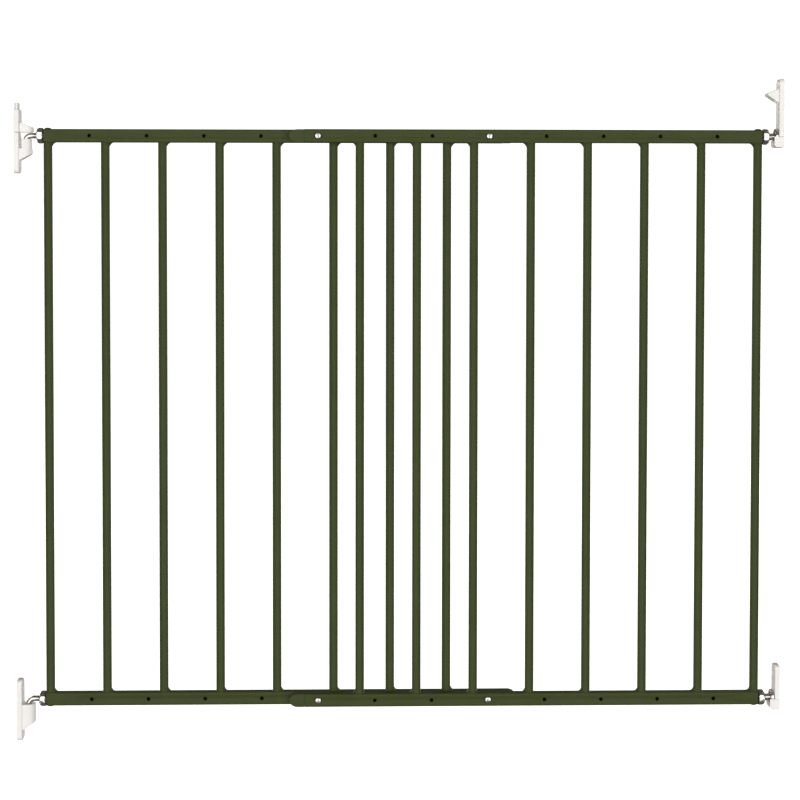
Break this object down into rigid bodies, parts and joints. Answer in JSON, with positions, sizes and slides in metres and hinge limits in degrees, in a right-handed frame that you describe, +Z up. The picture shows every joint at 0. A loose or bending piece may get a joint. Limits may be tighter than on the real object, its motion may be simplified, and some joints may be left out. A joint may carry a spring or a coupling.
{
  "type": "pet gate",
  "caption": "Extending steel pet gate: overlapping barred halves, hung on bent bolts in wall sockets and held by lock cups with a sliding catch.",
  "frame": {"origin": "centre of the lower hinge socket's wall face, level with the lower bolts and in the rear half's middle plane", "axes": "+X across the doorway from the hinge side to the lock side, +Y the way the gate swings open, +Z up"},
  "size_m": [0.957, 0.0376, 0.8288],
  "materials": {
    "green_powder_coat": "satin powder coat",
    "green_plastic": "matte moulded plastic",
    "zinc_plate": "bright zinc plate",
    "cream_plastic": "satin moulded plastic"
  },
  "bodies": {
    "wall_fittings": {"hinge_socket_upper": "cream_plastic", "hinge_socket_lower": "cream_plastic", "lock_cup_upper": "cream_plastic", "lock_cup_lower": "cream_plastic"},
    "gate": {"rear_post": "green_powder_coat", "rear_bar_1": "green_powder_coat", "rear_bar_2": "green_powder_coat", "rear_bar_3": "green_powder_coat", "rear_bar_4": "green_powder_coat", "rear_bar_5": "green_powder_coat", "rear_bar_6": "green_powder_coat", "rear_bar_7": "green_powder_coat", "rear_rail_lower": "green_powder_coat", "rear_rail_upper": "green_powder_coat", "front_post": "green_powder_coat", "front_bar_1": "green_powder_coat", "front_bar_2": "green_powder_coat", "front_bar_3": "green_powder_coat", "front_bar_4": "green_powder_coat", "front_bar_5": "green_powder_coat", "front_bar_6": "green_powder_coat", "front_bar_7": "green_powder_coat", "front_rail_lower": "green_powder_coat", "front_rail_upper": "green_powder_coat", "rear_rail_plug_lower": "green_plastic", "rear_rail_plug_upper": "green_plastic", "front_rail_plug_lower": "green_plastic", "front_rail_plug_upper": "green_plastic", "hinge_insert_lower": "zinc_plate", "hinge_insert_upper": "zinc_plate", "lock_insert_lower": "zinc_plate", "lock_insert_upper": "zinc_plate", "hinge_rivet_lower": "green_powder_coat", "hinge_rivet_upper": "green_powder_coat", "lock_rivet_lower": "green_powder_coat", "lock_rivet_upper": "green_powder_coat", "hinge_bolt_lower": "zinc_plate", "hinge_bolt_upper": "zinc_plate", "lock_bolt_lower": "zinc_plate", "lock_bolt_upper": "zinc_plate", "join_screw_lower_1": "zinc_plate", "join_screw_lower_2": "zinc_plate", "join_screw_upper_1": "zinc_plate", "join_screw_upper_2": "zinc_plate", "join_nut_lower_1": "zinc_plate", "join_nut_lower_2": "zinc_plate", "join_nut_upper_1": "zinc_plate", "join_nut_upper_2": "zinc_plate"},
    "hinge_cap": {"hinge_cap": "cream_plastic"},
    "lock_catch": {"lock_catch": "cream_plastic"},
    "hinge_adjusting_nut_lower": {"hinge_adjusting_nut_lower": "zinc_plate"},
    "hinge_adjusting_nut_upper": {"hinge_adjusting_nut_upper": "zinc_plate"},
    "lock_adjusting_nut_lower": {"lock_adjusting_nut_lower": "zinc_plate"},
    "lock_adjusting_nut_upper": {"lock_adjusting_nut_upper": "zinc_plate"}
  },
  "joints": [
    {"name": "gate_swing", "type": "hinge", "parent": "wall_fittings", "child": "gate", "pos_m": [0.0135, 0, 0], "axis": [0, 0, 1], "range_deg": [0, 90]},
    {"name": "hinge_cap_slide", "type": "slide", "parent": "wall_fittings", "child": "hinge_cap", "axis": [0, 0, 1], "range_m": [0, 0.021]},
    {"name": "lock_catch_slide", "type": "slide", "parent": "wall_fittings", "child": "lock_catch", "axis": [0, 0, 1], "range_m": [-0.036, 0]},
    {"name": "hinge_adjusting_nut_lower_turn", "type": "hinge", "parent": "gate", "child": "hinge_adjusting_nut_lower", "pos_m": [0.0352, 0, 0], "axis": [1, 0, 0], "continuous": true},
    {"name": "hinge_adjusting_nut_upper_turn", "type": "hinge", "parent": "gate", "child": "hinge_adjusting_nut_upper", "pos_m": [0.0352, 0, 0.7055], "axis": [1, 0, 0], "continuous": true},
    {"name": "lock_adjusting_nut_lower_turn", "type": "hinge", "parent": "gate", "child": "lock_adjusting_nut_lower", "pos_m": [0.9318, -0.0135, 0], "axis": [1, 0, 0], "continuous": true},
    {"name": "lock_adjusting_nut_upper_turn", "type": "hinge", "parent": "gate", "child": "lock_adjusting_nut_upper", "pos_m": [0.9318, -0.0135, 0.7055], "axis": [1, 0, 0], "continuous": true}
  ]
}
